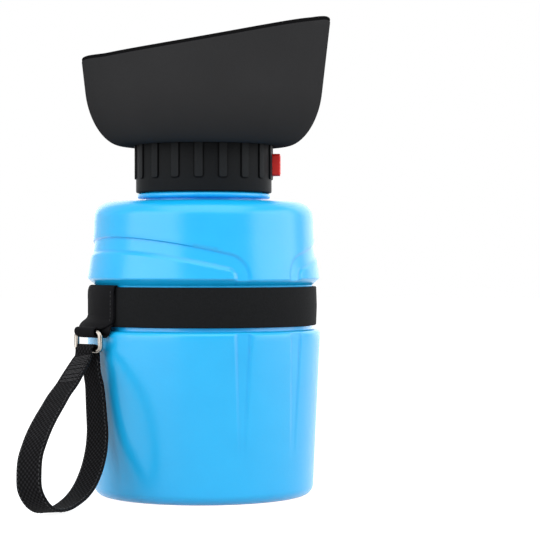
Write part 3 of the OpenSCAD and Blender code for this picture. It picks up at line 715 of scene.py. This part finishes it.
neck_thread = thread("neck_thread", NECK_R - 0.05, 23.7, 116.6, 0.96)
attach(neck_thread, "bottle")
cap_thread = thread("cap_thread", 24.35, 22.95, 118.4, 0.48)
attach(cap_thread, "cap")


# Screw cap: a turned shell with grip ribs, a window for the button and a hole for the spool's end

CAP_R, CAP_IN = 26.05, 24.3
CAP_Z, DECK_LOW = 115.5, 131.2
shell = turned("cap_shell", rounded([
    [CAP_IN, 125, 0], [CAP_IN, CAP_Z, 0.4], [CAP_R, CAP_Z, 0.5], [CAP_R, DECK_Z, 0.3],
    [PORT_R, DECK_Z, 0.2], [PORT_R, DECK_LOW, 0.2], [CAP_IN, DECK_LOW, 0.6],
    [CAP_IN, 125, 0]], 4), 288)
cut(shell, rounded_block("window", (26, 0, SPOOL_Z), (6, 6.0, 9.1), (1, 1), 0.2))
cut(shell, rod(2.4, 6, (-25.5, 0, SPOOL_Z), 48, (0, math.pi / 2, 0)))

RIBS, RIB_WIDTH, RIB_FOOT, RIB_ROUND = 18, 3.4, 120.6, 1.0
ribs = [shell]
for i in range(RIBS):
    rib = rounded_block("rib", (26.0, 0, (RIB_FOOT + DECK_Z) / 2),
                        (1.2, RIB_WIDTH, DECK_Z - RIB_FOOT), (RIB_ROUND, 0), 0.2)
    rib.matrix_world = Matrix.Rotation(2 * math.pi * (i + 0.5) / RIBS, 4, "Z")
    set_in_place(rib)
    ribs.append(rib)
cap = settle(join(ribs, "cap_shell_ribbed"), 35)
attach(cap, "cap")
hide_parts("collar")


# Cross button: the red head, dished where the thumb presses, on its turned spool with seal grooves

SPOOL_R, SEAL_R, TRAVEL = 2.8, 1.84, 2.8
head = rounded_block("button_head", (27.95, 0, SPOOL_Z), (3.0, 5.4, 8.5), (0.9, 0.9), 0.45)
pick(head)
for f in head.data.polygons:
    f.select = f.normal.x > 0.99
bpy.ops.object.mode_set(mode="EDIT")
bpy.ops.mesh.inset(thickness=0.2 * MM, depth=0)
bpy.ops.mesh.inset(thickness=0.15 * MM, depth=-0.12 * MM)
bpy.ops.object.mode_set(mode="OBJECT")
spool = turned("spool", rounded([
    [0, -26.05, 0], [2.3, -26.05, 0.3], [2.3, -21.3, 0.1], [SPOOL_R, -21.3, 0.2],
    [SPOOL_R, -7.1, 0.1], [SEAL_R, -7.1, 0.1], [SEAL_R, -5.9, 0.1], [SPOOL_R, -5.9, 0.1],
    [SPOOL_R, 5.9, 0.1], [SEAL_R, 5.9, 0.1], [SEAL_R, 7.1, 0.1], [SPOOL_R, 7.1, 0.1],
    [SPOOL_R, 26.6, 0.1], [0, 26.6, 0]]), 64, "X")
spool.location = (0, 0, SPOOL_Z * MM)
set_in_place(spool)
# The port through the spool stands beside the bore at rest, and comes under it when pushed in
cut(spool, rod(1.3, 8, (TRAVEL, 0, SPOOL_Z), 40))
button = settle(join([head, spool], "cross_button_red"), 30)
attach(button, "button")
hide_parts("cross_button")


# Drinking bowl: turned with its lip, then its side drawn up and down to the slanted rim

# Its outside spreads in a rounded foot of a height, then leans out as it goes up. Heights are over
# the cap's deck, and the lip is set in a little from a height.
FLOOR_R, WALL, LEAN = 31.5, 2.2, 0.115
SPREAD, ROUND_H = 11.6, 20
SIDE_R = FLOOR_R + SPREAD
RIM_H = 36.9
LIP_IN, LIP_FROM = np.array([-0.14, 0]), 35.55


def bowl_point(t):
    """Point of the outside's rounded foot, as [radius, height over the cap's deck]."""
    rise = ROUND_H * (1 - math.cos(t))
    return np.array([FLOOR_R + SPREAD * math.sin(t) + LEAN * rise, rise])


def bowl_lining(t):
    """The lining's point a wall's thickness inside it."""
    inward = np.array([-ROUND_H * math.sin(t), SPREAD * math.cos(t) + LEAN * ROUND_H * math.sin(t)])
    return bowl_point(t) + WALL * inward / np.linalg.norm(inward)


turns = np.linspace(0, math.pi / 2, 25)
outer = [bowl_point(t) for t in turns]
lining = [bowl_lining(t) for t in turns[::-1]]
climb = np.array([LEAN, 1.0])
rise_out = [outer[-1] + climb * h for h in np.linspace(0, 15.5, 15)[1:]]
rise_out += [outer[-1] + climb * h + LIP_IN for h in (15.62, 15.9)]
to_rim = RIM_H - lining[0][1]
rise_in = [lining[0] + climb * h for h in np.linspace(to_rim, 0, 16)[1:-1]]
lip_out = outer[-1] + climb * (RIM_H - ROUND_H) + LIP_IN
lip_in = lining[0] + climb * to_rim
lip = rounded([[*rise_out[-1], 0], [*lip_out, 0.4], [*lip_in, 0.4], [*rise_in[0], 0]], 5)
bowl_line = ([np.array([PORT_R, 0.0])] + outer + rise_out + lip[1:-1] + rise_in + lining
             + [np.array([PORT_R, WALL]), np.array([PORT_R, 0.0])])
bowl = turned("bowl_rubber_shell", [p + [0, DECK_Z] for p in bowl_line], 288)

# The rim is an arc in side view, high towards the button, that turns up a little at both its ends
ARC_R, ARC_X, ARC_H = 350, -57.77, 381.8
points = points_of(bowl)
rise = points[:, 2] - DECK_Z
radius = np.hypot(points[:, 0], points[:, 1])
turn = np.arctan2(points[:, 1], points[:, 0])
rim = np.full(len(points), RIM_H)
for _ in range(4):
    x = (SIDE_R + LEAN * rim) * np.cos(turn)
    rim = ARC_H - np.sqrt(ARC_R ** 2 - (x - ARC_X) ** 2)
    rim += 1.1 * smooth_step((-33 - x) / 14) + 0.4 * smooth_step((x - 43) / 5)
lift = (rim - RIM_H) * np.clip((rise - ROUND_H) / 15.6, 0, 1)
move_points(bowl, radius + LEAN * lift, turn, points[:, 2] + lift)
mark(bowl, "lip", rise > LIP_FROM)
settle(bowl, 40)
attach(bowl, "cap")
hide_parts("drinking_bowl")


# Elastic band: a turned flat ring of knitted elastic with a slight crown

BAND_IN, BAND_OUT, BAND_CROWN = 42.02, 43.2, 43.48
BAND_LOW, BAND_Z, BAND_TOP = 64.9, 72.3, 79.7
band_line = rounded([
    [BAND_IN, BAND_Z, 0], [BAND_IN, BAND_LOW, 0.3], [BAND_OUT, BAND_LOW, 0.5],
    [BAND_CROWN, BAND_Z, 20], [BAND_OUT, BAND_TOP, 0.5], [BAND_IN, BAND_TOP, 0.3],
    [BAND_IN, BAND_Z, 0]], 5)
band = turned("elastic_band", finer(band_line, lambda z: 1.2), 360)
layer = band.data.uv_layers.new(name="along_across_mm")
for f in band.data.polygons:
    centre = math.atan2(f.center.y, f.center.x)
    for k in f.loop_indices:
        place = band.data.vertices[band.data.loops[k].vertex_index].co
        off_centre = math.atan2(place.y, place.x) - centre
        angle = centre + (off_centre + math.pi) % (2 * math.pi) - math.pi
        layer.data[k].uv = (angle * 43.5, place.z / MM - BAND_Z)
settle(band, 40)
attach(band, "band")
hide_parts("carry_band")


# Materials

def colour(code):
    """sRGB hex to the linear colour that a shader takes."""
    parts = [int(code[i:i + 2], 16) / 255 for i in (1, 3, 5)]
    return [c / 12.92 if c <= 0.04045 else ((c + 0.055) / 1.055) ** 2.4 for c in parts] + [1.0]


def add(tree, kind, sockets, **settings):
    """Adds a node, with its settings, and its sockets' values or what is linked to them."""
    made = tree.nodes.new("ShaderNode" + kind)
    for name, value in settings.items():
        setattr(made, name, value)
    for name, value in sockets.items():
        if isinstance(value, bpy.types.Node):
            value = value.outputs[0]
        if isinstance(value, bpy.types.NodeSocket):
            tree.links.new(value, made.inputs[name])
        else:
            made.inputs[name].default_value = value
    return made


def per_metre(size):
    """Scale that gives a pattern patches of a size in mm, on coordinates in metres."""
    return 1 / (size * MM)


def finish_of(name, **surface):
    """New material with its shader's own values; returns it and its tree."""
    made = bpy.data.materials.new(name)
    made.use_nodes = True
    shader = made.node_tree.nodes["Principled BSDF"]
    for key, value in surface.items():
        shader.inputs[key.replace("_", " ")].default_value = value
    return made, made.node_tree


def show(made, tone, relief=None, strength=0.0, depth=0.3):
    """Gives a material's shader its colour, and what stands out on it by a depth in mm."""
    tree = made.node_tree
    shader = tree.nodes["Principled BSDF"]
    tree.links.new(tone.outputs["Result"], shader.inputs["Base Color"])
    if relief:
        bump = add(tree, "Bump", {"Height": relief, "Strength": strength, "Distance": depth * MM})
        tree.links.new(bump.outputs[0], shader.inputs["Normal"])


def mottled(name, size, detail, dark, light, strength=0.0, depth=0.3, **surface):
    """Material with patches of a size in mm, from a dark tone to a light one, which stand out by a
    depth in mm where a strength is given; returns it, its tone and its coordinates."""
    made, tree = finish_of(name, **surface)
    place = add(tree, "TexCoord", {}).outputs["Object"]
    patches = add(tree, "TexNoise", {"Vector": place, "Scale": per_metre(size), "Detail": detail})
    tone = add(tree, "Mix", {"Factor": patches, "A": colour(dark), "B": colour(light)},
               data_type="RGBA")
    show(made, tone, patches if strength else None, strength, depth)
    return made, tone, place


def woven(name, along, across, dark, light, strength):
    """Woven fabric: threads that rise over each other, spaced in mm along and across its UV map."""
    made, tree = finish_of(name, Roughness=0.85, Specular_IOR_Level=0.08)
    places = add(tree, "TexCoord", {}).outputs
    split = add(tree, "SeparateXYZ", {0: places["UV"]})
    waves = []
    for axis, spacing in (("X", along), ("Y", across)):
        turn = add(tree, "Math", {0: split.outputs[axis], 1: 2 * math.pi / spacing},
                   operation="MULTIPLY")
        waves.append(add(tree, "Math", {0: turn}, operation="SINE"))
    weave = add(tree, "Math", {0: waves[0], 1: waves[1]}, operation="MULTIPLY")
    fuzz = add(tree, "TexNoise", {"Vector": places["Object"], "Scale": per_metre(0.6667),
                                  "Detail": 2})
    relief = add(tree, "Math", {0: fuzz, 1: 0.9, 2: weave}, operation="MULTIPLY_ADD")
    # The colour follows the same relief as the bump, lighter where the threads rise: painted
    # highlight on the raised threads
    share = add(tree, "MapRange", {"Value": relief, "From Min": 0.1, "From Max": 1.5})
    tone = add(tree, "Mix", {"Factor": share, "A": colour(dark), "B": colour(light)},
               data_type="RGBA")
    show(made, tone, relief, strength)
    return made


def wear(material, *pieces):
    """Gives pieces one material in place of what they have."""
    for piece in pieces:
        piece.data.materials.clear()
        piece.data.materials.append(material)


# Blow-moulded polyethylene: satin gloss, the faint waviness of a blown wall, and painted shade that
# darkens it along the channels' and flutes' edges
blown, tree = finish_of("blown_polyethylene", IOR=1.51, Roughness=0.26)
place = add(tree, "TexCoord", {}).outputs["Object"]
waves = add(tree, "TexNoise", {"Vector": place, "Scale": per_metre(16.67), "Detail": 2})
share = add(tree, "MapRange", {"Value": waves, "From Min": 0.3, "From Max": 0.7})
tone = add(tree, "Mix", {"Factor": share, "A": colour("#10b0ef"), "B": colour("#16b4f2")},
           data_type="RGBA")
# Painted shade: the crease share darkens the blue towards a deeper blue along the channels' and
# flutes' edges
crease_shade_share = add(tree, "Attribute", {}, attribute_name="painted_crease_shade")
crease_shade_share = add(tree, "Math", {0: crease_shade_share.outputs["Fac"], 1: 0.55}, operation="MULTIPLY",
            use_clamp=True)
tone = add(tree, "Mix", {"Factor": crease_shade_share, "A": tone.outputs["Result"], "B": colour("#0c95e6")},
           data_type="RGBA")
grain = add(tree, "TexNoise", {"Vector": place, "Scale": per_metre(1.111), "Detail": 3})
relief = add(tree, "Math", {0: waves, 1: grain}, operation="ADD")
show(blown, tone, relief, 0.06, 0.6)
wear(blown, bottle, neck_thread)


# Injection-moulded polypropylene, spark texture: satin black with a soft, grainy shine. Its grit,
# like the rubber's and the thread's, is too fine to show, so it is drawn 0.4 to 0.6 mm across.
def satin_black(name):
    return mottled(name, 0.3846, 2, "#222324", "#2a2b2c", 0.12, IOR=1.49, Roughness=0.5,
                   Specular_IOR_Level=0.03)


satin = satin_black("spark_textured_polypropylene")[0]
wear(satin, cap_thread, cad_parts["valve_block"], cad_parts["spout_plate"])

# The cap's own: the same on the ribs' faces, with painted shade between them and darker painted
# shade along their corners.
# The ribs stand so many mm apart round the cap.
RIB_PITCH = 9.1
rib_shaded_finish, tone, place = satin_black("rib_shaded_polypropylene")
tree = rib_shaded_finish.node_tree
axes = add(tree, "SeparateXYZ", {0: place})
angle = add(tree, "Math", {0: axes.outputs["Y"], 1: axes.outputs["X"]}, operation="ARCTAN2")
count = add(tree, "Math", {0: angle, 1: RIBS / (2 * math.pi)}, operation="MULTIPLY")
from_rib = add(tree, "Math", {0: count}, operation="FRACT")
from_rib = add(tree, "Math", {0: from_rib, 1: 0.5}, operation="SUBTRACT")
from_rib = add(tree, "Math", {0: from_rib}, operation="ABSOLUTE")
aside = add(tree, "Math", {0: from_rib, 1: RIB_PITCH, 2: RIB_ROUND - RIB_WIDTH / 2},
            operation="MULTIPLY_ADD")
aside = add(tree, "Math", {0: aside, 1: 0}, operation="MAXIMUM")
below = add(tree, "Math", {0: axes.outputs["Z"], 1: -1 / MM, 2: RIB_FOOT + RIB_ROUND},
            operation="MULTIPLY_ADD")
below = add(tree, "Math", {0: below, 1: 0}, operation="MAXIMUM")
outward = add(tree, "CombineXYZ", {"X": aside, "Y": below})
outward = add(tree, "VectorMath", {0: outward}, operation="LENGTH").outputs["Value"]
off_side = add(tree, "Math", {0: outward, 1: RIB_ROUND + 0.05}, operation="SUBTRACT")
off_side = add(tree, "Math", {0: off_side}, operation="ABSOLUTE")
# Painted shade: darkest in a line round each rib's sides and foot, lighter painted shade between
# the ribs
corner = add(tree, "MapRange", {"Value": off_side, "From Min": 0.15, "From Max": 0.4,
                                "To Min": 0.9, "To Max": 0.0})
between = add(tree, "MapRange", {"Value": outward, "From Min": 1.0, "From Max": 1.4,
                                 "To Min": 0.0, "To Max": 0.4})
painted_rib_shade = add(tree, "Math", {0: corner, 1: between}, operation="MAXIMUM")
# Painted shade: the shares darken the cap towards near black
tone = add(tree, "Mix", {"Factor": painted_rib_shade, "A": tone.outputs["Result"], "B": colour("#0a0a0b")},
           data_type="RGBA")
show(rib_shaded_finish, tone)
wear(rib_shaded_finish, cap)

# Moulded silicone rubber, matt: soft dark grey with a dusty bloom and no shine, darker at its lip
rubber, tone, place = mottled("matt_silicone_rubber", 28.57, 4, "#2f2f30", "#353536",
                              IOR=1.43, Roughness=0.7, Specular_IOR_Level=0.0)
tree = rubber.node_tree
# The lip share darkens the colour above the small step under the rim
darker_lip = add(tree, "Attribute", {}, attribute_name="lip").outputs["Fac"]
tone = add(tree, "Mix", {"Factor": darker_lip, "A": tone.outputs["Result"], "B": colour("#151516")},
           data_type="RGBA")
grain = add(tree, "TexNoise", {"Vector": place, "Scale": per_metre(0.5556), "Detail": 2})
show(rubber, tone, grain, 0.1)
wear(rubber, bowl)

# Polished ABS: bright red with a clear gloss and the faint flow marks of its mould
red = mottled("polished_red_abs", 3.846, 2, "#e81d16", "#f0281f", 0.03,
              IOR=1.53, Roughness=0.3, Specular_IOR_Level=0.3)[0]
wear(red, button)

# Chromed steel wire: a clear mirror, a little warm, with faint marks from its drawing
chrome = mottled("chromed_steel_wire", 0.7143, 2, "#7d7872", "#a39d95", 0.05, 0.2,
                 Metallic=1.0, Roughness=0.12)[0]
wear(chrome, ring_wire)

# Polyester webbing: rows of thread tips about 1 mm apart that catch the light on near-black
wear(woven("polyester_webbing", 1.9, 1.6, "#030304", "#262628", 0.7), wrist_strap)

# Knitted elastic: a finer, flatter knit with a soft grey cast
wear(woven("knitted_elastic", 1.6, 1.2, "#121314", "#222325", 0.35), band)

# Folded elastic tape: smooth and near black
wear(woven("elastic_tape", 0.9, 0.9, "#09090b", "#151518", 0.25), strap_tab)

# Spun polyester thread: strands with no shine, greyer on the strap than on the tab
for seam, dark, light in ((strap_stitches, "#121214", "#3a3a3d"),
                          (tab_stitches, "#0b0b0d", "#222225")):
    wear(mottled("spun_polyester_thread", 0.4, 1, dark, light, Roughness=0.55)[0], seam)

# Clear silicone, slightly milky
milky = mottled("milky_silicone", 8.333, 2, "#e6ebec", "#f4f7f7",
                IOR=1.41, Roughness=0.35, Transmission_Weight=0.55)[0]
wear(milky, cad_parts["neck_gasket"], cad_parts["dip_tube"])

# Nitrile rubber, greased: black with a wet shine
nitrile = mottled("greased_nitrile", 1.429, 2, "#161617", "#242425", IOR=1.52, Roughness=0.3)[0]
wear(nitrile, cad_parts["spool_seals"])


# Floor, world and lamps

def bare_tree(owner):
    """Node tree of a material or world with nothing in it yet."""
    owner.use_nodes = True
    owner.node_tree.nodes.clear()
    return owner.node_tree


def seen_rays(tree):
    """1 for rays by which the camera sees something, also in a shine or through a clear part."""
    rays = add(tree, "LightPath", {}).outputs
    seen = add(tree, "Math", {0: rays["Is Camera Ray"], 1: rays["Is Glossy Ray"]},
               operation="MAXIMUM")
    return add(tree, "Math", {0: seen, 1: rays["Is Transmission Ray"]}, operation="MAXIMUM")


deselect()
bpy.ops.mesh.primitive_circle_add(vertices=96, radius=4, fill_type="NGON")
floor = bpy.context.object
floor.name = "floor"
paper = bpy.data.materials.new("white_paper")
tree = bare_tree(paper)
matt = add(tree, "BsdfDiffuse", {"Color": (0.5, 0.5, 0.5, 1)})
glow = add(tree, "Emission", {"Color": (1, 1, 1, 1), "Strength": 0.93})
lit = add(tree, "AddShader", {0: matt, 1: glow})
both = add(tree, "MixShader", {0: seen_rays(tree), 1: matt, 2: lit})
add(tree, "OutputMaterial", {"Surface": both})
wear(paper, floor)

world = bpy.data.worlds.new("studio")
bpy.context.scene.world = world
tree = bare_tree(world)
soft = add(tree, "Background", {"Color": (1, 1, 1, 1), "Strength": 0.3})
bright = add(tree, "Background", {"Color": (1, 1, 1, 1), "Strength": 1.0})
both = add(tree, "MixShader", {0: seen_rays(tree), 1: soft, 2: bright})
add(tree, "OutputWorld", {"Surface": both})

# Each lamp: its place, the point it is aimed at, its width and height in metres, and its watts
SOFTBOXES = {
    "softbox_left": ((-0.77, -0.64, 0.14), (0, 0, 0.07), 1.15, 1.0, 8.8),
    "softbox_right": ((1.0, -0.12, 0.2), (0, 0, 0.09), 1.1, 1.0, 8.8),
    "softbox_front_top": ((0.05, -0.63, 0.99), (0, 0, 0.09), 1.7, 1.1, 11),
    "softbox_rear": ((0.15, 1.1, 0.5), (0, 0, 0.09), 2.0, 1.4, 10),
}
for name, (place, aim, wide, tall, watts) in SOFTBOXES.items():
    lamp = bpy.data.lights.new(name, "AREA")
    lamp.shape = "RECTANGLE"
    lamp.size, lamp.size_y, lamp.energy = wide, tall, watts
    holder = bpy.data.objects.new(name, lamp)
    bpy.context.scene.collection.objects.link(holder)
    holder.location = place
    holder.rotation_euler = (Vector(aim) - Vector(place)).to_track_quat("-Z", "Y").to_euler()
